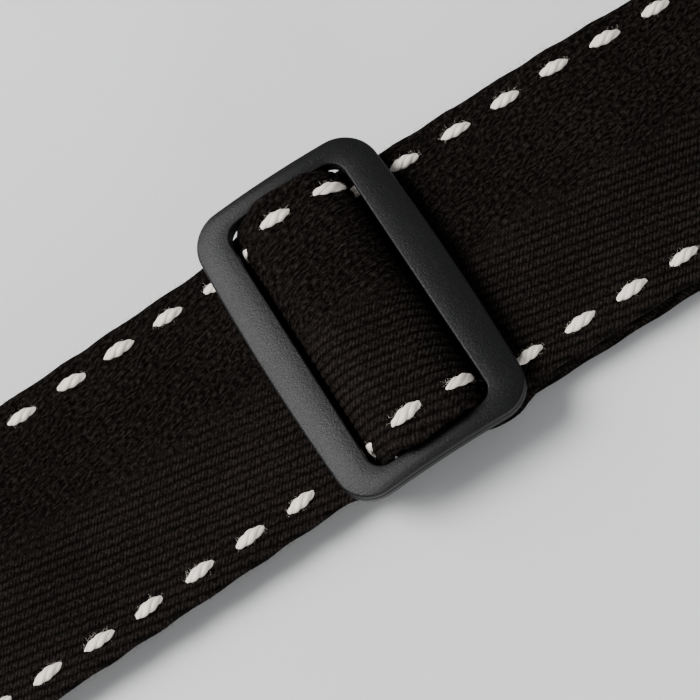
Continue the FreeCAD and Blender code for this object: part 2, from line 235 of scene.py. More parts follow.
def front_loop_path():
    """The short doubled webbing that ties the front tab to the ring's far bar."""
    end, straight = FRONT_HOLE_X - TAB_OVERLAP, 4 * MM
    top = RING_Z + RING_TURN_R - TAB_TOP_WEB_Z
    path = Path(end, TAB_TOP_WEB_Z, 180)
    path.ahead_to(FAR_BAR_X + straight + step_reach(top, 2 * TAB_BEND)).step(top, TAB_BEND, TAB_BEND)
    path.ahead_to(FAR_BAR_X).turn(RING_TURN_R, 180).ahead(straight)
    return path.step(TAB_WEB_Z - FLOOR_Z, TAB_BEND, TAB_BEND).ahead_to(end)


STRAP = strap_path()
FRONT_LOOP = front_loop_path()
CROWN = STRAP.marks["crown"]
# where a dash's middle falls, from the hump's crown: the left (+Y) row and the right (-Y) row.
# The two rows were sewn separately, and the slider's bars hide where their step shifts.
TAIL_PHASE = (CROWN - 3.2 * MM, CROWN - 0.6 * MM)
HUMP_PHASE = (CROWN - 2.6 * MM, CROWN - 2.2 * MM)
FRONT_PHASE = (CROWN - 2.7 * MM, CROWN - 3.6 * MM)


def phases_at(s):
    """The left and right rows' dash positions in force at a distance s."""
    if s < STRAP.marks["hump"]:
        return TAIL_PHASE
    return HUMP_PHASE if s < STRAP.marks["front"] else FRONT_PHASE


def smoothstep(edge0, edge1, x):
    t = np.clip((x - edge0) / (edge1 - edge0), 0, 1)
    return t * t * (3 - 2 * t)


def across(x, z, v):
    """Y of a point v off the middle. The strap bows a little beyond the slider. Its edges spread
    where it bends under the long bars and where it is pulled over the hidden one, and the top of
    the hump has crept over one rail."""
    d = np.abs(x - SLIDER_X)
    low = 1 - smoothstep(*PAST_BAR, z)
    spread = BAR_SPREAD * low * np.exp(-((d - 11.5 * MM) / (5 * MM)) ** 4)
    spread = spread + WINDOW_SPREAD * (1 - low) * np.exp(-(d / (8 * MM)) ** 4)
    spread = spread + CROWN_SPREAD * smoothstep(CROWN_Z - 0.9 * MM, CROWN_Z, z)
    beyond = np.clip(d - 14 * MM, 0, None)
    bow = -BOW * beyond * np.exp(-(beyond / BOW_REACH) ** 2) - CREEP * smoothstep(9 * MM, 14 * MM, z)
    return v + spread * MM * np.sign(v) * np.abs(v / WEB_HALF) ** 10 + bow


# ---- mesh helpers ----

def make_object(name, verts, faces, uv=None, smooth=True):
    mesh = bpy.data.meshes.new(name)
    mesh.from_pydata(np.asarray(verts, float).tolist(), [], faces)
    if smooth:
        mesh.polygons.foreach_set("use_smooth", np.ones(len(mesh.polygons), bool))
    if uv is not None:
        layer = mesh.uv_layers.new(name="flat")
        corners = np.zeros(len(mesh.loops), np.int32)
        mesh.loops.foreach_get("vertex_index", corners)
        layer.data.foreach_set("uv", np.asarray(uv, np.float32)[corners].ravel())
    mesh.validate()
    mesh.update()
    obj = bpy.data.objects.new(name, mesh)
    bpy.context.scene.collection.objects.link(obj)
    return obj


def loft(rows, caps=False):
    """Faces between rows of vertices. A row may have a whole multiple of the next row's count."""
    faces = []
    starts = np.cumsum([0] + [len(r) for r in rows])
    for k in range(len(rows) - 1):
        a, b = len(rows[k]), len(rows[k + 1])
        sa, sb = starts[k], starts[k + 1]
        if a == b:
            i = np.arange(a)
            j = (i + 1) % a
            faces += np.stack([sa + i, sa + j, sb + j, sb + i], 1).tolist()
        else:
            faces += stitch_rows(sa, a, sb, b)
    if caps:
        faces += cap(starts[0], len(rows[0]), False) + cap(starts[-2], len(rows[-1]), True)
    return faces


def stitch_rows(sa, a, sb, b):
    """Triangles between a fine row and a coarse one."""
    turn = 1
    if a < b:
        sa, a, sb, b, turn = sb, b, sa, a, -1
    ratio = a // b
    faces = []
    for j in range(b):
        near, far = sb + j, sb + (j + 1) % b
        for i in range(ratio):
            p, q = sa + j * ratio + i, sa + (j * ratio + i + 1) % a
            faces.append([p, q, near if i < ratio / 2 else far][::turn])
            if i + 1 == ceil(ratio / 2):
                faces.append([q, far, near][::turn])
    return faces


def cap(start, count, end):
    """Closes the first or last row of a ribbon: its upper half faces its lower half."""
    turn = 1 if end else -1
    return [[start + i, start + i + 1, start + count - 2 - i, start + count - 1 - i][::turn]
            for i in range(count // 2 - 1)]


def tube_faces(along, around, face=1, base=0):
    """Faces round a tube of rows of points, and its two ends. A face of -1 turns them over."""
    k = np.arange(around)
    row = base + np.arange(along - 1)[:, None] * around
    a, b = row + k, row + (k + 1) % around
    quads = np.stack([a, b, b + around, a + around], -1).reshape(-1, 4)[:, ::face].tolist()
    return quads + [(base + k)[::-face].tolist(), (base + (along - 1) * around + k)[::face].tolist()]


# ---- webbing ----

def weave_height(s, v):
    """Relief of the herringbone ribs, in mm, at s along and v across, both in mm."""
    a = np.abs(v)
    wander = 0.16 * np.sin(1.1 * s + 2.3 * v) * np.sin(0.7 * v - 0.9 * s + 1)
    phase = (a * cos(RIB_SLOPE) - s * sin(RIB_SLOPE)) / RIB_PITCH + wander
    rib = np.abs(np.sin(pi * phase)) ** 0.8
    strand_turn = np.radians(np.where(v > 0, 27, 57))
    over = v * np.cos(strand_turn) - s * np.sin(strand_turn)
    strand = np.abs(np.sin(pi * over / STRAND_PITCH))
    return RIB_HEIGHT * rib + STRAND_HEIGHT * strand * rib


def beat(s, phase):
    """1 at the middle of a dash and -1 at the middle of a gap."""
    return cos(2 * pi * (s - phase) / PITCH)


def stitch_relief(s, v, face):
    """The running stitch pulls the webbing in along its row and more so under each dash, in mm."""
    depth = np.zeros_like(v)
    for side, phase in zip((1, -1), phases_at(s)):
        row = np.exp(-((v - side * YARN_ROW / MM) / 1.5) ** 2)
        depth += row * (ROW_SINK + DASH_SINK * face * beat(s, phase))
    return -depth


def ribbon_rows(path, s_values, counts, relief):
    """One closed cross-section loop of vertices for each s, and its flat coordinates."""
    rows, flats = [], []
    half = WEB_HALF / MM
    thick = WEB_THICK / MM / 2
    for s, count, amount in zip(s_values, counts, relief):
        v = np.linspace(-half, half, count // 2)
        selvedge = np.clip((np.abs(v) - (half - SELVEDGE)) / SELVEDGE, 0, 1)
        round_off = 0.25 + 0.75 * np.sqrt(1 - selvedge ** 2)
        top, under = (thick * round_off - 0.10 + weave_height(s / MM + shift, v) * amount
                      + stitch_relief(s, v, face) for face, shift in ((1, 0), (-1, 2.9)))
        left, right = phases_at(s)
        pull = np.where(v > 0, beat(s, left), -beat(s, right)) * SCALLOP * selvedge
        h = np.concatenate([top, -under[::-1]]) * MM
        both = np.concatenate([v + pull, (v + pull)[::-1]]) * MM
        rows.append(path.place(np.full(len(h), s), both, h))
        flats.append(np.stack([np.full(len(h), s), np.concatenate([v, v[::-1]]) * MM], 1))
    return rows, flats


def stations(start, stop, fine, coarse_step=2.0 * MM, fine_step=0.41 * MM):
    """Distances along a span: close together inside the fine stretches."""
    s, values = start, []
    while s < stop:
        values.append(s)
        s += fine_step if any(lo <= s <= hi for lo, hi in fine) else coarse_step
    return values + [stop]


def ribbon(name, path, start, stop, fine=(), bends=()):
    """A span of webbing with its rib relief inside the fine stretches, smooth elsewhere."""
    values = stations(start, stop, [*fine, *bends])
    fade, counts = [], []
    for s in values:
        depths = [min(1.0, (s - lo) / RELIEF_FADE if lo > start + MM else 1.0,
                      (hi - s) / RELIEF_FADE if hi < stop - MM else 1.0)
                  for lo, hi in fine if lo <= s <= hi]
        fade.append(max(depths, default=0.0))
        counts.append(FINE_COUNT if depths else COARSE_COUNT)
    rows, flats = ribbon_rows(path, values, counts, fade)
    return make_object(name, np.concatenate(rows), loft(rows, caps=True), np.concatenate(flats))


# ---- twisted yarn ----

def on_path(path):
    """Takes flat coordinates along, across and above a path's left face to places in space. What
    stands proud is pressed flatter under the slider's long bars and where the strap turns upright."""
    def place(s, v, h, face=1):
        x, _, nx, _ = path.at(s)
        under_bar = np.exp(-((np.abs(x - SLIDER_X) - BAR_MIDDLE) / (4.5 * MM)) ** 4)
        proud = 1 - PRESSED * np.maximum(under_bar, nx ** 2)
        return path.place(s, v, face * (WEB_THICK / 2 + np.where(h > 0, h * proud, h)))
    return place


def twisted_dash(place, s, v, angle, length, width, plies, turns, ridge, sink, spin, detail, face=1):
    """One visible stitch: plies twisted together that rise out of the cloth and dive back in.
    Returns vertices, faces and flat coordinates, which run along each ply and round it."""
    along, around = detail
    u = np.linspace(-1, 1, along)[:, None]
    ring = np.linspace(0, 2 * pi, around, endpoint=False)[None, :]
    swell = (1 - np.abs(u) ** 1.9) ** 1.15
    offset, thick = (0.20 * width, 0.33 * width) if plies > 1 else (0, 0.5 * width)
    spread, radius = offset * swell, thick * (0.10 + 0.90 * swell)
    verts, faces, flats = [], [], []
    for ply in range(plies):
        turn = 2 * pi * ply / plies + spin + turns * pi * u
        side = spread * np.cos(turn) + radius * np.cos(ring)
        high = spread * np.sin(turn) * 0.75 + ridge * swell - sink * (1 - swell) + radius * np.sin(ring)
        reach = u * length / 2
        ss = s + reach * cos(angle) - side * sin(angle)
        vv = v + reach * sin(angle) + side * cos(angle)
        verts.append(place(ss, vv, high, face).reshape(-1, 3))
        flats.append(np.stack([reach + 0 * ring + ply * 0.01 + s * 7, radius * ring], -1)
                     .reshape(-1, 2))
        faces += tube_faces(along, around, face, ply * along * around)
    return np.concatenate(verts), faces, np.concatenate(flats)


class Heap:
    """Gathers many small meshes into one piece."""

    def __init__(self):
        self.verts, self.faces, self.flats, self.count = [], [], [], 0

    def add(self, verts, faces, flats):
        self.faces += [[k + self.count for k in f] for f in faces]
        self.verts.append(verts)
        self.flats.append(flats)
        self.count += len(verts)

    def piece(self, name):
        return make_object(name, np.concatenate(self.verts), self.faces, np.concatenate(self.flats))


def loose_fibre(place, s, v, h, heading, length, lift, radius, face=1):
    """A fibre that has worked loose: a thin tapered curl that lifts off the yarn."""
    steps, around = 5, 3
    u = np.linspace(0, 1, steps)[:, None]
    ring = np.linspace(0, 2 * pi, around, endpoint=False)[None, :]
    turn = heading + RNG.normal(0, 1.1) * u
    stride = length / (steps - 1)
    along = s + np.cumsum(np.cos(turn), 0) * stride
    aside = v + np.cumsum(np.sin(turn), 0) * stride
    high = h + lift * np.sin(u * RNG.uniform(1.2, 2.6))
    thick = radius * (1 - 0.7 * u)
    ss = along - thick * np.cos(ring) * np.sin(turn)
    vv = aside + thick * np.cos(ring) * np.cos(turn)
    verts = place(ss, vv, high + thick * np.sin(ring), face).reshape(-1, 3)
    flats = np.column_stack([np.repeat(u * length, around), np.tile(ring * radius, steps).ravel()])
    return verts, tube_faces(steps, around, face), flats


def some(low, high):
    """A random length between two, given in mm."""
    return RNG.uniform(low, high) * MM


def yarn_fuzz(name, path, start, stop, phases, each=60):
    """Loose fibres round the dashes that are seen close up, so many on each."""
    heap, place = Heap(), on_path(path)
    for side, phase in zip((1, -1), phases):
        first, last = ceil((start - phase) / PITCH), floor((stop - phase) / PITCH)
        for i in range(first, last + 1):
            for _ in range(each):
                reach = RNG.uniform(-0.46, 0.46)
                edge = 1 - (2 * reach) ** 2
                flank = RNG.choice((-1, 1)) * RNG.uniform(0.3, 1.0)
                s = phase + i * PITCH + reach * DASH
                v = side * YARN_ROW + flank * edge * 1.0 * MM
                h = (0.15 + 0.75 * edge * sqrt(max(0, 1 - flank ** 2))) * MM
                heap.add(*loose_fibre(place, s, v, h, RNG.uniform(0, 2 * pi), some(0.3, 0.9),
                                      some(0.02, 0.22), some(0.010, 0.017)))
    return heap.piece(name)


def cloth_fuzz(name, path, start, stop, each):
    """Loose fibres along both selvedges and here and there on the face, from each step."""
    heap, place = Heap(), on_path(path)
    for s in np.arange(start, stop, each):
        for side in (1, -1):
            v = side * (WEB_HALF - some(0.0, 0.5))
            outward = side * pi / 2 + RNG.normal(0, 0.7)
            heap.add(*loose_fibre(place, s + RNG.normal(0, 0.2) * MM, v, some(-1.4, -0.2), outward,
                                  some(0.3, 1.1), some(-0.1, 0.4), some(0.016, 0.028)))
        for _ in range(3):
            v = RNG.uniform(-1, 1) * (WEB_HALF - 1 * MM)
            heap.add(*loose_fibre(place, s, v, -0.05 * MM, RNG.uniform(0, 2 * pi),
                                  some(0.4, 1.4), some(0.1, 0.35), some(0.014, 0.024)))
    return heap.piece(name)


def yarn_row(name, path, side, start, stop, phase, faces=(1, -1), fine=()):
    """The dashes of one edge yarn on a span, as one piece. One face's gaps are the other's dashes."""
    heap, place = Heap(), on_path(path)
    tilt = radians(-3.5 if side > 0 else 4.5)
    longer, width, turns, sink = 1.24, 2.05 * MM, -1.25, 0.70 * MM
    for face in faces:
        outer = face == faces[0]
        length = DASH if outer else PITCH - DASH + 0.6 * MM
        middle = phase if outer else phase + PITCH / 2
        first = ceil((start + length / 2 - middle) / PITCH)
        last = floor((stop - length / 2 - middle) / PITCH)
        for i in range(first, last + 1):
            s = middle + i * PITCH + RNG.normal(0, 0.10) * MM
            dense = outer and any(lo <= s <= hi for lo, hi in fine)
            v = side * YARN_ROW + RNG.normal(0, 0.12) * MM
            ridge = (0.12 if outer else -0.30) * MM
            heap.add(*twisted_dash(place, s, v, tilt + RNG.normal(0, 0.02),
                                   longer * length * RNG.uniform(0.95, 1.05),
                                   width * RNG.uniform(0.94, 1.06), 3, turns, ridge, sink,
                                   RNG.uniform(0, 2 * pi), (30, 16) if dense else (14, 8), face))
    return heap.piece(name)


# ---- slider ----

def arc(x, y, radius, start, stop, count, endpoint=True):
    """Points of an arc round (x, y)."""
    return [(x + radius * cos(a), y + radius * sin(a))
            for a in np.linspace(start, stop, count, endpoint=endpoint)]


def mirrored(quarter):
    """A symmetrical outline, in order round it, from its quarter from +X to just short of +Y."""
    back = (quarter[1:] + [(0.0, quarter[-1][1])])[::-1]
    parts = ((1, 1, quarter), (-1, 1, back), (-1, -1, quarter), (1, -1, back))
    return np.array([(sx * x, sy * y) for sx, sy, part in parts for x, y in part])


def bowed_loop(counts):
    """The slider's outer outline, matched point for point with window_loop."""
    half_x, half_y = ((slider_high[k] - slider_low[k]) / 2 for k in (0, 1))
    bow, corner = 1.0 * MM, 6.5 * MM
    arc_r = (half_y ** 2 + bow ** 2) / (2 * bow)
    swing = asin((half_y - corner) / (arc_r - corner))
    centre_x = (arc_r - corner) * cos(swing) - (arc_r - half_x)
    bar = arc(-(arc_r - half_x), 0, arc_r, 0, swing, counts[0], False)
    turn = arc(centre_x, half_y - corner, corner, swing, pi / 2, counts[1], False)
    rail = [(x, half_y) for x in np.linspace(centre_x, 0, counts[2], endpoint=False)]
    return mirrored(bar + turn + rail)


def window_loop(counts):
    """The slider's window: a rectangle with rounded corners."""
    half_x, half_y, corner = WINDOW[0] / 2, WINDOW[1] / 2, 3.0 * MM
    bar = [(half_x, y) for y in np.linspace(0, half_y - corner, counts[0], endpoint=False)]
    turn = arc(half_x - corner, half_y - corner, corner, 0, pi / 2, counts[1], False)
    rail = [(x, half_y) for x in np.linspace(half_x - corner, 0, counts[2], endpoint=False)]
    return mirrored(bar + turn + rail)


def rounding(radius, steps=5):
    """Inset and drop of points round a quarter-circle edge, from the face to the wall."""
    return [(radius * (1 - sin(a)), radius * (1 - cos(a)))
            for a in np.linspace(0, pi / 2, steps)]


def slider_section():
    """The rail's section as (edge, inset, level, offset): edge 0 is the window's and 1 the outside.
    It runs up the window's wall, across the top, down the outer wall and back underneath."""
    inner_top, outer_top, below, crown = 0.4 * MM, 0.45 * MM, 0.4 * MM, 0.22 * MM
    seam = ((0.30, 0.0), (0.34, 0.13), (0.40, 0.13), (0.44, -0.02), (0.62, -0.02))
    points = [(0, inset, 0, drop) for inset, drop in rounding(below)]
    points += [(0, inset, 1, -drop) for inset, drop in rounding(inner_top, 6)[::-1]]
    for share in (0.22, 0.36, 0.5, 0.64, 0.78):
        points.append((share, 0, 1, crown * (1 - (2 * share - 1) ** 2)))
    points += [(1, inset, 1, -drop) for inset, drop in rounding(outer_top, 6)]
    points += [(1, inset * MM, 1, -depth * SLIDER_THICK) for depth, inset in seam]
    points += [(1, inset, 0, drop) for inset, drop in rounding(below)[::-1]]
    points += [(share, 0, 0, 0) for share in (0.75, 0.5, 0.25)]
    return points


def closed_sweep(name, rows, flip=False):
    """A surface through rows of vertices, whose last row meets the first."""
    total = len(rows) * len(rows[0])
    faces = [[k % total for k in f][::-1 if flip else 1] for f in loft([*rows, rows[0]])]
    return make_object(name, np.concatenate(rows), faces)


def slider_rim(name):
    """The arched rounded frame, a section swept between the window's outline and the outer one."""
    counts = (34, 14, 16)
    inner, outer = window_loop(counts), bowed_loop(counts)
    width = np.linalg.norm(outer - inner, axis=1)
    rows = []
    for edge, inset, level, offset in slider_section():
        share = edge + (inset / width if edge == 0 else -inset / width)
        xy = inner + (outer - inner) * share[:, None]
        z = arch_z(xy[:, 0], level) + offset
        rows.append(np.column_stack([xy[:, 0] + SLIDER_X, xy[:, 1], z]))
    return closed_sweep(name, rows)


def arch_z(x, level):
    """Height of the slider's arched top (level 1) or underside (level 0)."""
    rise = 2.0 * MM
    half = (slider_high[0] - slider_low[0]) / 2
    radius = (half ** 2 + rise ** 2) / (2 * rise)
    drop = slider_high[2] - SLIDER_THICK - radius
    return drop + np.sqrt((radius + level * SLIDER_THICK) ** 2 - np.asarray(x) ** 2)


def flat_oval(half_flat, radius, steps=10):
    """Outline of a bar with two flat faces and two round edges."""
    turn = np.linspace(-pi / 2, pi / 2, steps)
    right = [(half_flat + radius * cos(a), radius * sin(a)) for a in turn]
    return right + [(-x, -z) for x, z in right]


def centre_bar(name):
    """The bar that the sewn loop goes round, from rail to rail."""
    outline = flat_oval(BAR_FLAT / 2, SLIDER_THICK / 2)
    reach, bevel = (WINDOW[1] / 2 + slider_high[1]) / 2, 0.4 * MM
    rows = []
    for y in (-reach, -reach + bevel, 0, reach - bevel, reach):
        grow = 0.9 if abs(y) == reach else 1.0
        rows.append(np.array([(SLIDER_X + x * grow, y, BAR_Z + z * grow) for x, z in outline]))
    count = len(outline)
    ends = [list(range(count))[::-1], [(len(rows) - 1) * count + k for k in range(count)]]
    return make_object(name, np.concatenate(rows), loft(rows) + ends)


# ---- ring ----

def ring_bar(name):
    """A round bar bent to a rectangle, with a fine moulding seam on its inner and outer side."""
    radius = (ring_high[2] - ring_low[2]) / 2
    half_x, half_y = ((ring_high[k] - ring_low[k]) / 2 - radius for k in (0, 1))
    corner, seam = 3.5 * MM, 0.10 * MM
    quarters = ((1, 1), (-1, 1), (-1, -1), (1, -1))
    line, out = [], []
    for k, quarter in enumerate(quarters):
        x, y = (RING_X + half_x + quarter[0] * (half_x - corner), quarter[1] * (half_y - corner))
        start, stop = k * pi / 2, (k + 1) * pi / 2
        line += arc(x, y, corner, start, stop, 13)
        out += arc(0, 0, 1, start, stop, 13)
        sx, sy = quarters[(k + 1) % 4]
        end = (RING_X + half_x + sx * (half_x - corner) + corner * cos(stop),
               sy * (half_y - corner) + corner * sin(stop))
        for share in (0.02, 0.5, 0.98) if k % 2 else (0.04, 0.96):
            line.append([a + (b - a) * share for a, b in zip(line[-1], end)])
            out.append(out[-1])
    angles = np.linspace(0, 2 * pi, 28, endpoint=False)
    reach = np.array([radius - (0 if abs(sin(a)) < 0.1 else seam) for a in angles])
    side, high = reach * np.cos(angles), reach * np.sin(angles)
    rows = [np.column_stack([x + ox * side, y + oy * side, RING_Z + high])
            for (x, y), (ox, oy) in zip(line, out)]
    return closed_sweep(name, rows, flip=True)


# ---- leather tabs ----

def tab_outline(spacing=0.9 * MM):
    """The tab's outline with the button hole at the origin: round tip, tapers, wide end."""
    shoulder = 48 * MM
    at = atan2(TAB_HALF, shoulder) + acos(TAB_TIP_R / hypot(TAB_HALF, shoulder))
    points = arc(0, 0, TAB_TIP_R, at, 2 * pi - at, 60)
    soft, sharp = 6 * MM, 1.6 * MM
    corners = [(shoulder, -TAB_HALF, soft), (TAB_LENGTH, -TAB_HALF, sharp),
               (TAB_LENGTH, TAB_HALF, sharp), (shoulder, TAB_HALF, soft)]
    for i, (x, y, radius) in enumerate(corners):
        before = points[-1] if i == 0 else corners[i - 1][:2]
        after = corners[i + 1][:2] if i < 3 else points[0]
        points += rounded_corner(before, (x, y), after, radius)
    return resample(np.array(points), spacing)


def rounded_corner(before, corner, after, radius, steps=7):
    """Points of an arc that replaces a polygon's corner."""
    corner, back, on = (np.array(p, float) for p in (corner, before, after))
    back, on = ((p - corner) / np.linalg.norm(p - corner) for p in (back, on))
    half = acos(np.clip(back @ on, -1, 1)) / 2
    centre = corner + (back + on) / np.linalg.norm(back + on) * radius / sin(half)
    start, stop = corner + back * radius / tan(half), corner + on * radius / tan(half)
    a, b = atan2(*(start - centre)[::-1]), atan2(*(stop - centre)[::-1])
    b = a + (b - a + pi) % (2 * pi) - pi
    return arc(*centre, radius, a, b, steps)


def keyhole(spacing=0.45 * MM):
    """The button hole, its slit and the small round hole that ends the slit."""
    slit, relief, end = 0.5 * MM, 1.0 * MM, HOLE_R + 10 * MM
    a, b = asin(slit / HOLE_R), pi - asin(slit / relief)
    points = arc(0, 0, HOLE_R, a, 2 * pi - a, 50) + arc(end, 0, relief, -b, b, 16)
    return resample(np.array(points), spacing)


def measured(line):
    """A polyline's length, and the function from distances along it to places."""
    line = np.array(line)
    run = np.concatenate([[0], np.cumsum(np.linalg.norm(np.diff(line, axis=0), axis=1))])
    return run[-1], lambda at: np.column_stack([np.interp(at, run, line[:, k]) for k in (0, 1)])


def resample(points, spacing):
    """The same closed outline with evenly spaced points."""
    length, on = measured(np.vstack([points, points[:1]]))
    return on(np.linspace(0, length, max(8, round(length / spacing)), endpoint=False))


def inset(loop, distance):
    """The outline moved to its left, which is inward on one that runs anticlockwise."""
    along = np.roll(loop, -1, 0) - np.roll(loop, 1, 0)
    along /= np.linalg.norm(along, axis=1)[:, None]
    return loop + distance * np.column_stack([-along[:, 1], along[:, 0]])


def is_inside(points, loop):
    """Whether each point is inside the closed outline, by counting crossings."""
    inside = np.zeros(len(points), bool)
    x, y = points[:, 0], points[:, 1]
    for (x0, y0), (x1, y1) in zip(loop, np.roll(loop, -1, 0)):
        if y0 != y1:
            crossing = (y0 > y) != (y1 > y)
            inside ^= crossing & (x < (x1 - x0) * (y - y0) / (y1 - y0) + x0)
    return inside


def nearest(points, others):
    """Each point's distance to the nearest of the others."""
    return np.array([np.sqrt(((others - p) ** 2).sum(1).min()) for p in points])


def plate(outline, hole, heights, edge, grooves=None):
    """A sheet of leather with rounded edges. heights(x) gives its underside and top, and grooves
    are the points that its stitch lines pass through, pressed a little into the top."""
    rim, lip = inset(outline, edge), inset(hole, -edge)
    x, y = (np.arange(low, high, 1.5 * MM) for low, high in ((-16 * MM, 86 * MM), (-27 * MM, 27 * MM)))
    grid = np.stack(np.meshgrid(x, y), -1).reshape(-1, 2)
    grid = grid[is_inside(grid, rim) & ~is_inside(grid, lip)]
    grid = grid[nearest(grid, np.vstack([rim, lip])) > 0.8 * MM]
    if grooves is not None:
        grid = grid[nearest(grid, grooves) > 1.3 * MM]
        grid = np.vstack([grid, groove_points(grooves)])
        grid = grid[nearest(grid, np.vstack([rim, lip])) > 0.5 * MM]
    points = np.vstack([rim, lip, grid])
    n_rim, n_lip = len(rim), len(lip)
    edges = [(i, (i + 1) % n_rim) for i in range(n_rim)]
    edges += [(n_rim + i, n_rim + (i + 1) % n_lip) for i in range(n_lip)]
    flat, _, tris, origin, _, _ = delaunay_2d_cdt([Vector(p) for p in points], edges, [], 0, 1e-7)
    flat = np.array([tuple(p) for p in flat])
    index = {old: new for new, olds in enumerate(origin) for old in olds}
    middles = np.array([flat[list(tri)].mean(0) for tri in tris])
    kept = is_inside(middles, rim) & ~is_inside(middles, lip)
    tris = [list(tri) for tri, keep in zip(tris, kept) if keep]
    low, high = heights(flat[:, 0])
    pressed = 0
    if grooves is not None:
        pressed = 0.18 * MM * np.exp(-(nearest(flat, grooves) / (0.7 * MM)) ** 2)
    verts = [np.column_stack([flat, high - pressed]), np.column_stack([flat, low])]
    count = len(flat)
    faces = tris + [[k + count for k in tri[::-1]] for tri in tris]
    base = 2 * count
    for loop, first, sign in ((outline, 0, 1), (hole, n_rim, -1)):
        size = len(loop)
        rings = [[index[first + i] for i in range(size)]]
        for level, profile in ((1, rounding(edge)[1:]), (0, rounding(edge)[:0:-1])):
            for distance, drop in profile:
                ring = inset(loop, sign * distance)
                z = heights(ring[:, 0])[level] + (-drop if level else drop)
                verts.append(np.column_stack([ring, z]))
                rings.append([base + i for i in range(size)])
                base += size
        rings.append([index[first + i] + count for i in range(size)])
        for a, b in zip(rings[:-1], rings[1:]):
            for i in range(size):
                quad = [a[i], b[i], b[(i + 1) % size], a[(i + 1) % size]]
                faces.append(quad if sign > 0 else quad[::-1])
    return np.concatenate(verts), faces


def groove_points(line):
    """Rows of points along a stitch line and close beside it."""
    ahead = np.roll(line, -1, 0) - line
    reach = np.linalg.norm(ahead, axis=1)
    kept = reach < 3 * MM
    side = np.column_stack([-ahead[:, 1], ahead[:, 0]])[kept] / reach[kept, None]
    return np.vstack([line[kept] + side * offset * MM for offset in (-0.9, -0.4, 0, 0.4, 0.9)])


def outer_heights(stack):
    """Underside and top of the outer ply, which steps up over the sewn-in webbing."""
    low = BACKING + OUTER_PLY / 2
    path = Path(-2 * TAB_TIP_R, low).ahead_to(TAB_OVERLAP - MM - step_reach(stack, 14 * MM))
    path.step(stack, 7 * MM, 7 * MM).ahead_to(TAB_LENGTH + 5 * MM)
    x, z, _, _ = path.at(np.linspace(0, path.length, 2000))
    return lambda at: (np.interp(at, x, z) - OUTER_PLY / 2, np.interp(at, x, z) + OUTER_PLY / 2)


def backing_heights(at):
    return np.zeros_like(at), np.full_like(at, BACKING)


def stitch_lines():
    """Where the tab is sewn: a box over the webbing, and a line round the tapered tip."""
    near, far, w = TAB_OVERLAP + 6 * MM, TAB_LENGTH - 4 * MM, TAB_HALF - 5 * MM
    box = [(near, -w), (far, -w), (far, w), (near, w), (near, -w)]
    lines = [[box[i], box[i + 1]] for i in range(4)]
    inner = TAB_TIP_R - 4 * MM
    shoulder = np.array((TAB_OVERLAP - 14 * MM, TAB_HALF * 0.62))
    at = atan2(shoulder[1], shoulder[0]) + acos(inner / np.linalg.norm(shoulder))
    tip = arc(0, 0, inner, at, 2 * pi - at, 40)
    return lines + [[tuple(shoulder), *tip, (shoulder[0], -shoulder[1])]]


def spaced(line, pitch):
    """Evenly spaced places on a line, each with the line's direction there."""
    length, on = measured(line)
    count = max(1, round(length / pitch))
    at = (np.arange(count) + 0.5) * length / count
    return on(at), np.arctan2(*(on(at + 0.1 * MM) - on(at - 0.1 * MM)).T[::-1])


def on_top(top):
    """Takes places on a tab and heights above its top face to places in space."""
    def place(x, y, h, face=1):
        return np.stack([x, y, top(x) + h], -1)
    return place


def tab_stitching(stack):
    """Thread stitches along the stitch lines, each slightly askew as a saddle stitch lies."""
    heap = Heap()
    high = outer_heights(stack)
    for line in stitch_lines():
        for (x, y), angle in zip(*spaced(line, 4.4 * MM)):
            heap.add(*twisted_dash(on_top(lambda at: high(at)[1]), x, y, angle + 0.10, 3.5 * MM,
                                   0.85 * MM, 2, 1.6, -0.16 * MM, 0.5 * MM, RNG.uniform(0, 6), (14, 8)))
    return heap


def put_at_front(verts, faces):
    """Turns a tab round so that its wide end faces the ring."""
    verts = verts * np.array((-1, 1, 1)) + np.array((FRONT_HOLE_X, 0, 0))
    return verts, [f[::-1] for f in faces]


def leather_tab(end, stack, turned):
    """The two plies and the stitching of one tab. Returns the three pieces."""
    outline, hole = tab_outline(), keyhole()
    grooves = np.vstack([spaced(line, 0.8 * MM)[0] for line in stitch_lines()])
    outer = plate(outline, hole, outer_heights(stack), 0.55 * MM, grooves)
    backing = plate(inset(outline, 0.15 * MM), hole, backing_heights, 0.4 * MM)
    sewing = tab_stitching(stack)
    thread = (np.concatenate(sewing.verts), sewing.faces)
    if turned:
        outer, backing, thread = (put_at_front(*part) for part in (outer, backing, thread))
    return (make_object(end + "_tab_top_leather", *outer),
            make_object(end + "_tab_back_leather", *backing),
            make_object(end + "_tab_thread", *thread, np.concatenate(sewing.flats)))


def bar_tacks(name):
    """Three rows of close zigzag thread across the folded end."""
    heap = Heap()
    w, count = WEB_HALF - 7 * MM, 26
    top = FOLD_Z + WEB_THICK / 2
    for x in (18, 26, 34):
        for i in range(count):
            y = -w + 2 * w * (i + 0.5) / count
            heap.add(*twisted_dash(on_top(lambda at: top + 0 * at), SLIDER_X + x * MM, y,
                                   radians(62 if i % 2 else 118), 2.6 * MM, 0.45 * MM,
                                   1, 0, -0.10 * MM, 0.4 * MM, 0, (8, 6)))
    return heap.piece(name)


# ---- materials ----

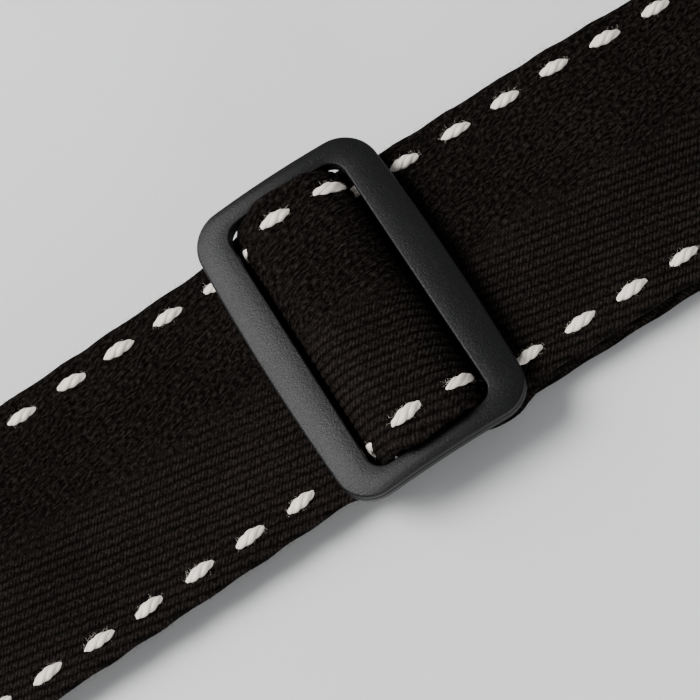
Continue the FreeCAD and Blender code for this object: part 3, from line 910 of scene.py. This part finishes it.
class Shading:
    """A node material with short calls for the nodes it needs."""

    def __init__(self, name):
        self.material = bpy.data.materials.new(name)
        self.material.use_nodes = True
        self.tree = self.material.node_tree
        self.shader = self.tree.nodes["Principled BSDF"]

    def put(self, socket, value):
        if isinstance(value, bpy.types.NodeSocket):
            self.tree.links.new(value, socket)
        elif value is not None:
            socket.default_value = value

    def node(self, kind, **inputs):
        made = self.tree.nodes.new("ShaderNode" + kind)
        for key, value in inputs.items():
            self.put(made.inputs[key.replace("_", " ")], value)
        return made

    def math(self, operation, a, b=None, c=None):
        made = self.tree.nodes.new("ShaderNodeMath")
        made.operation = operation
        for socket, value in zip(made.inputs, (a, b, c)):
            self.put(socket, value)
        return made.outputs[0]

    def times(self, a, b, plus=None):
        return self.math("MULTIPLY" if plus is None else "MULTIPLY_ADD", a, b, plus)

    def ridges(self, value, pitch):
        """Rounded ridges with sharp valleys between them."""
        return self.math("ABSOLUTE", self.math("SINE", self.times(value, pi / pitch)))

    def combine(self, x, y, z=0.0):
        return self.node("CombineXYZ", X=x, Y=y, Z=z).outputs[0]

    def flat_mm(self):
        """The piece's flat coordinates in millimetres."""
        uv = self.tree.nodes.new("ShaderNodeUVMap")
        uv.uv_map = "flat"
        parts = self.node("SeparateXYZ", Vector=uv.outputs[0])
        return [self.times(parts.outputs[k], 1 / MM) for k in (0, 1)]

    def object_place(self):
        return self.tree.nodes.new("ShaderNodeTexCoord").outputs["Object"]

    def noise(self, vector, scale, detail=2.0, roughness=0.5, stretch=None):
        if stretch is not None:
            vector = self.node("Mapping", Vector=vector, Scale=stretch).outputs[0]
        return self.node("TexNoise", Vector=vector, Scale=scale, Detail=detail,
                         Roughness=roughness).outputs[0]

    def blend(self, share, a, b):
        made = self.tree.nodes.new("ShaderNodeMix")
        made.data_type = "RGBA"
        self.put(made.inputs[0], share)
        self.put(made.inputs[6], (*a, 1) if isinstance(a, tuple) else a)
        self.put(made.inputs[7], (*b, 1) if isinstance(b, tuple) else b)
        return made.outputs[2]

    def remap(self, value, low, high, to_low=0.0, to_high=1.0):
        """The value stretched from one range to another, and held inside it."""
        return self.node("MapRange", Value=value, From_Min=low, From_Max=high, To_Min=to_low,
                         To_Max=to_high).outputs[0]

    def finish(self, color, roughness, height=None, depth=0.0, **uniform):
        self.put(self.shader.inputs["Base Color"], color)
        self.put(self.shader.inputs["Roughness"], roughness)
        if height is not None:
            bump = self.node("Bump", Height=height, Distance=depth, Strength=1.0)
            self.put(self.shader.inputs["Normal"], bump.outputs[0])
        for key, value in uniform.items():
            self.shader.inputs[key.replace("_", " ")].default_value = value
        return self.material


def webbing_material():
    """Black herringbone cotton: ribs that slope away from the middle. Their short yarns are all
    twisted the same way, so they cross the ribs on the right side, like the strands of a rope, and
    lie nearly along them on the left, where they blur into a grain."""
    g = Shading("black_cotton_webbing")
    s, v = g.flat_mm()
    flat = g.combine(s, v)
    shift = g.times(g.noise(flat, 0.55, 2.0), 1.1, -0.55)
    s, v = g.math("ADD", s, shift), g.times(shift, 0.5, v)

    def turned(angle):
        """Flat coordinates across and along yarns that lean by an angle."""
        return (g.times(v, cos(angle), g.times(s, -sin(angle))),
                g.times(v, sin(angle), g.times(s, cos(angle))))

    left_rib, right_rib = (
        g.ridges(g.times(v, lean * cos(RIB_SLOPE) / RIB_PITCH,
                         g.times(s, -sin(RIB_SLOPE) / RIB_PITCH)), 1) for lean in (1, -1))
    over, along = turned(radians(54))
    strand = g.ridges(over, 0.58)
    chop = g.noise(g.combine(over, g.times(along, 0.9)), 1.7)
    over, along = turned(radians(14))
    streak = g.noise(g.combine(g.times(over, 1.9), g.times(along, 0.75)), 1.3, 3.0, 0.6)
    grain = g.noise(flat, 1.5, 3.0, 0.7)
    fluff = g.noise(flat, 6.0, 3.0, 0.7)
    wear = g.noise(flat, 0.05, 3.0, 0.6)
    roped = g.times(g.times(right_rib, 0.75, 0.25), g.times(strand, 0.55, 0.45))
    roped = g.times(roped, g.remap(chop, 0.32, 0.68, 0.45, 1.35))
    grainy = g.times(g.times(left_rib, 0.45, 0.55), g.remap(streak, 0.36, 0.66, 0.05, 1.15))
    middle = g.times(g.noise(flat, 0.16, 2.0), 12.0, -6.0)
    side = g.remap(g.math("ADD", v, middle), -2.5, 2.5)
    height = g.times(side, g.math("SUBTRACT", grainy, roped), roped)
    height = g.times(height, g.remap(grain, 0.32, 0.68, 0.45, 1.25))
    height = g.times(fluff, 0.20, height)
    # The colour follows the relief: the tops of the ribs and strands are a painted highlight and the
    # valleys between them are painted shade; the slow wear noise varies it at random.
    tone = g.times(g.math("POWER", height, 1.8), g.remap(wear, 0.3, 0.7, 0.8, 1.2))
    return g.finish(g.blend(tone, (0.0002, 0.00015, 0.0001), (0.0230, 0.0182, 0.0158)),
                    g.remap(fluff, 0.3, 0.7, 0.5, 0.75), height, 0.34 * MM,
                    Specular_IOR_Level=0.015)


def twist_material(name, dark, light, ply_mm, sheen):
    """Spun thread: fine fibres that wind round each ply."""
    g = Shading(name)
    along, around = g.flat_mm()
    wound = g.times(around, 2.2 / ply_mm, g.times(along, 1.3 / ply_mm))
    fibre = g.noise(g.combine(wound, g.times(along, 0.35 / ply_mm)), 2.4, 4.0, 0.7)
    blotch = g.noise(g.combine(along, around), 0.9, 2.0)
    tone = g.times(fibre, 0.75, g.times(blotch, 0.35))
    return g.finish(g.blend(g.remap(tone, 0.25, 0.85), dark, light),
                    g.remap(fibre, 0.3, 0.7, 0.7, 0.9), fibre, 0.10 * ply_mm * MM,
                    Sheen_Weight=sheen, Sheen_Roughness=0.4, Specular_IOR_Level=0.3)


def plastic_material():
    """Black moulded nylon with a fine spark-eroded grain."""
    g = Shading("black_moulded_plastic")
    place = g.object_place()
    grain = g.noise(place, 2600.0, 4.0, 0.65)
    cloud = g.noise(place, 90.0, 3.0, 0.6)
    scuff = g.noise(place, 700.0, 4.0, 0.75, (1.0, 0.08, 1.0))
    rough = g.math("ADD", g.remap(cloud, 0.3, 0.7, 0.33, 0.41), g.remap(grain, 0.3, 0.7, -0.03, 0.05))
    color = g.blend(g.remap(grain, 0.35, 0.7), (0.0042, 0.0042, 0.0043), (0.0085, 0.0085, 0.0087))
    return g.finish(color, rough, g.times(scuff, 0.12, grain), 0.085 * MM, Specular_IOR_Level=0.17)


def leather_material(name, dark, light, rough):
    """Leather with a pebbled grain, creases between the pebbles with painted shade in them, and uneven
    dye.
    """
    g = Shading(name)
    place = g.object_place()
    wobble = g.node("TexNoise", Vector=place, Scale=420.0, Detail=2.0).outputs[1]
    warped = g.node("VectorMath")
    warped.operation = "MULTIPLY_ADD"
    for socket, value in zip(warped.inputs, (wobble, (0.7 * MM,) * 3, place)):
        g.put(socket, value)
    pebbles = g.node("TexVoronoi", Vector=warped.outputs[0], Scale=1050.0)
    pebbles.feature = "SMOOTH_F1"
    pebbles.inputs["Smoothness"].default_value = 0.35
    pebble = pebbles.outputs["Distance"]
    crease = g.noise(place, 160.0, 5.0, 0.6)
    dye = g.noise(place, 38.0, 4.0, 0.6)
    fine = g.noise(place, 5200.0, 2.0, 0.5)
    height = g.times(fine, 0.12, g.math("SUBTRACT", g.times(crease, 0.8), pebble))
    # Darker towards each pebble's edge: painted shade in the creases between the pebbles; the dye noise
    # is uneven dye.
    tone = g.times(dye, 0.8, g.times(pebble, -0.35))
    return g.finish(g.blend(g.remap(tone, 0.0, 0.65), dark, light),
                    g.remap(pebble, 0.1, 0.7, rough - 0.06, rough + 0.14), height, 0.11 * MM,
                    Specular_IOR_Level=0.25)


def floor_material():
    """Pale matt studio paper."""
    g = Shading("pale_paper")
    mottle = g.noise(g.object_place(), 14.0, 3.0)
    color = g.blend(g.remap(mottle, 0.3, 0.7), (0.66, 0.66, 0.655), (0.70, 0.70, 0.695))
    return g.finish(color, 0.9, Specular_IOR_Level=0.1)


# ---- camera and light ----

def toward(azimuth, elevation):
    """Unit vector from a target towards a viewer. Azimuth 0 looks along +Y."""
    a, e = radians(azimuth), radians(elevation)
    return Vector((sin(a) * cos(e), -cos(a) * cos(e), sin(e)))


def add_camera():
    """Close over the slider, nearly along the strap's normal, and turned so the strap runs uphill."""
    target = Vector((SLIDER_X - 4.35 * MM, -2.83 * MM, 7.0 * MM))
    back, distance, roll = toward(1.6, 67.1), 0.457, radians(-34.6)
    level = Vector((0, 0, 1)).cross(back).normalized()
    upright = back.cross(level)
    right = cos(roll) * level + sin(roll) * upright
    up = back.cross(right)
    data = bpy.data.cameras.new("camera")
    data.lens = 138.9
    data.sensor_width = 36.0
    data.clip_start = 0.01
    camera = bpy.data.objects.new("camera", data)
    camera.rotation_mode = "QUATERNION"
    camera.rotation_quaternion = Matrix((right, up, back)).transposed().to_quaternion()
    camera.location = target + back * distance
    bpy.context.scene.collection.objects.link(camera)
    bpy.context.scene.camera = camera


def add_light(name, kind, direction, distance, power, size):
    """A soft light that faces the slider from a direction."""
    data = bpy.data.lights.new(name, kind)
    data.energy = power
    if kind == "SUN":
        data.angle = size
    else:
        data.shape = "SQUARE"
        data.size = size
    light = bpy.data.objects.new(name, data)
    heading = Vector(direction).normalized()
    light.location = Vector((SLIDER_X, 0, 0)) + heading * distance
    light.rotation_mode = "QUATERNION"
    light.rotation_quaternion = heading.to_track_quat("Z", "Y")
    bpy.context.scene.collection.objects.link(light)


def add_studio():
    world = bpy.data.worlds.new("studio")
    world.use_nodes = True
    sky = world.node_tree.nodes["Background"].inputs
    sky["Color"].default_value = (0.92, 0.95, 1.0, 1)
    sky["Strength"].default_value = 0.36
    bpy.context.scene.world = world
    add_light("key", "AREA", (-0.62, 0.42, 0.80), 1.1, 14.5, 0.75)
    add_light("low", "AREA", (-0.30, -0.90, 0.24), 1.2, 7.5, 0.4)
    add_light("even", "SUN", (-0.45, 0.30, 0.85), 2.0, 2.5, radians(25))
    corners = [(x, y, -0.4 * MM) for x, y in ((-4, -5), (6, -5), (6, 5), (-4, 5))]
    ground = make_object("floor", corners, [[0, 1, 2, 3]], smooth=False)
    ground.data.materials.append(floor_material())


# ---- the strap ----

def fit(piece, riding, material, slot, *nodes):
    """Gives a piece its material and hides the CAD nodes that it stands for; its slot is not used. It
    rides on one body, or else stays fixed where it was built."""
    piece.data.materials.append(material)
    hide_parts(*nodes)
    if isinstance(riding, str):
        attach(piece, riding)
    else:
        low, high, start, stop = riding
        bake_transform(piece)


def build_webbing():
    cloth = webbing_material()
    yarn = twist_material("warm_white_yarn", (0.66, 0.57, 0.47), (0.97, 0.925, 0.85), 1.0, 0.30)
    marks = STRAP.marks
    tail = ("tail", "slider_carriage", TAB_LENGTH + 3 * MM, SLIDER_X - 40 * MM)
    front = ("slider_carriage", "ring_turn", SLIDER_X + 45 * MM, RING_X - 12 * MM)
    seen = (marks["hump"] - 84 * MM, marks["front"] + 78 * MM)
    near = [seen, (marks["turn"] - 24 * MM, marks["return"] + 14 * MM)]
    spans = (
        ("tail_run", 0.0, marks["hump"], tail),
        ("slider_hump", marks["hump"], marks["front"], "slider_carriage"),
        ("front_run", marks["front"], marks["turn"], front),
        ("ring_turn", marks["turn"], marks["return"], "ring_turn"),
        ("return_run", marks["return"], marks["loop"], front),
        ("sewn_loop", marks["loop"], marks["end"], "slider_carriage"),
    )
    bends = {"tail_run": [(40 * MM, 60 * MM)],
             "sewn_loop": [(marks["loop"] + 25 * MM, marks["end"] - 25 * MM)]}
    for name, start, stop, riding in spans:
        fine = [] if name == "sewn_loop" else near
        held, rests_on = "laid", []
        if "run" not in name:
            held, rests_on = "stretched", ["square_ring" if name == "ring_turn" else "slider_frame"]
        piece = ribbon(name + "_cloth", STRAP, start, stop, fine, bends.get(name, []))
        fit(piece, riding, cloth, "webbing", name + "_webbing")
        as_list(rests_on)
    for name, start, stop, riding in spans[:5]:
        in_tail = name == "tail_run"
        for side, phase, word in zip((1, -1), phases_at((start + stop) / 2), ("left", "right")):
            piece = yarn_row(f"{name}_{word}_yarn", STRAP, side, 41 * MM if in_tail else start, stop,
                             phase, (1, -1) if in_tail else (1,), near)
            nodes = [] if name == "return_run" else [f"{name}_{word}_edge_yarn"]
            fit(piece, riding, yarn, "edge_yarn", *nodes)
    for name, start, stop, riding in spans[:3]:
        start, stop = max(start, seen[0]), min(stop, seen[1])
        phases = phases_at((start + stop) / 2)
        piece = yarn_fuzz(name + "_yarn_fuzz", STRAP, start, stop, phases)
        fit(piece, riding, yarn, "edge_yarn")
        piece = cloth_fuzz(name + "_cloth_fuzz", STRAP, start, stop, 0.35 * MM)
        fit(piece, riding, cloth, "webbing")
    length, covered = FRONT_LOOP.length, 34 * MM
    loop = ribbon("front_loop_cloth", FRONT_LOOP, 0.0, length, [(covered, length - covered)])
    fit(loop, "front_tab", cloth, "webbing", "front_loop_webbing")
    exposed = TAB_LENGTH - TAB_OVERLAP + 2 * MM
    for side, word in ((1, "left"), (-1, "right")):
        piece = yarn_row(f"front_loop_{word}_yarn", FRONT_LOOP, side, exposed, length - exposed,
                         exposed + 4 * MM, (-1,))
        fit(piece, "front_tab", yarn, "edge_yarn", f"front_loop_{word}_edge_yarn")


def build_hardware():
    plastic = plastic_material()
    for piece, node, body in ((slider_rim("slider_rim"), "slider_frame", "slider"),
                              (centre_bar("slider_centre_bar"), "slider_frame", "slider"),
                              (ring_bar("ring_bar"), "square_ring", "ring")):
        fit(piece, body, plastic, "moulded_plastic", node)


def build_tabs():
    top = leather_material("black_leather", (0.0065, 0.0055, 0.0050), (0.021, 0.018, 0.016), 0.46)
    back = leather_material("brown_leather", (0.030, 0.019, 0.012), (0.075, 0.050, 0.034), 0.62)
    thread = twist_material("black_thread", (0.006, 0.006, 0.006), (0.035, 0.033, 0.031), 0.4, 0.1)
    for end, stack, turned, body in (("tail", ONE_LAYER, False, "tail"),
                                     ("front", TWO_LAYERS, True, "front_tab")):
        looks = ((top, "leather", "_tab_outer_leather"),
                 (back, "backing_leather", "_tab_backing_leather"),
                 (thread, "sewing_thread", "_tab_stitching"))
        for piece, (material, slot, node) in zip(leather_tab(end, stack, turned), looks):
            fit(piece, body, material, slot, end + node)
    tacks = bar_tacks("fold_bar_tacks")
    fit(tacks, "slider_carriage", thread, "sewing_thread", "sewn_loop_stitching")


add_camera()
add_studio()
build_webbing()
build_hardware()
build_tabs()
